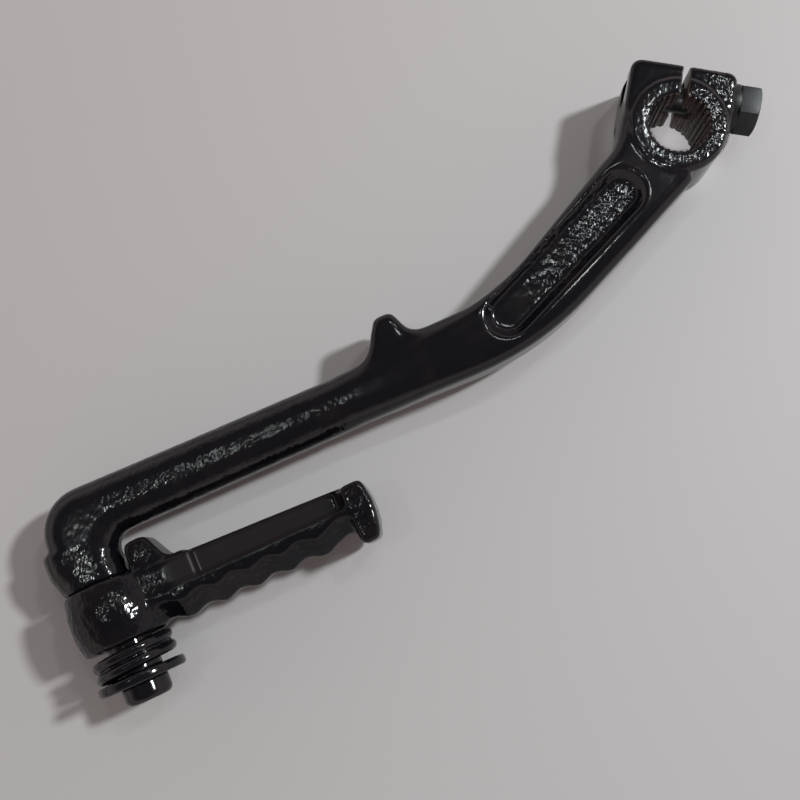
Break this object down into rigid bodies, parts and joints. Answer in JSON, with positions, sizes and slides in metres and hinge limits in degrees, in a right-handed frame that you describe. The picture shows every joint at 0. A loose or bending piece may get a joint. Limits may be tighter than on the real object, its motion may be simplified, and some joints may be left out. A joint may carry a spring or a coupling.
{
  "type": "kick start lever",
  "caption": "Forged kick start lever with a split splined clamp at one end and, at the other, a sprung foot pedal that folds on a pin.",
  "frame": {"origin": "middle of the splined bore, on its engine-side face", "axes": "+Z out along the shaft, away from the engine; +X along the lower bar towards the bore; -Y towards the pedal"},
  "size_m": [0.2159, 0.0957, 0.0236],
  "materials": {
    "black_paint": "gloss black paint over rough forged steel",
    "blackened_steel": "blackened, satin"
  },
  "bodies": {
    "arm": {"kick_arm": "black_paint", "pivot_pin": "black_paint", "pedal_spring": "black_paint", "end_washer": "black_paint", "pinch_bolt": "blackened_steel", "lock_washer": "blackened_steel"},
    "pedal": {"foot_pedal": "black_paint"}
  },
  "joints": [
    {"name": "pedal_fold", "type": "hinge", "parent": "arm", "child": "pedal", "pos_m": [-0.1772, -0.05325, 0.0118], "axis": [0, -1, 0], "range_deg": [0, 90]}
  ]
}
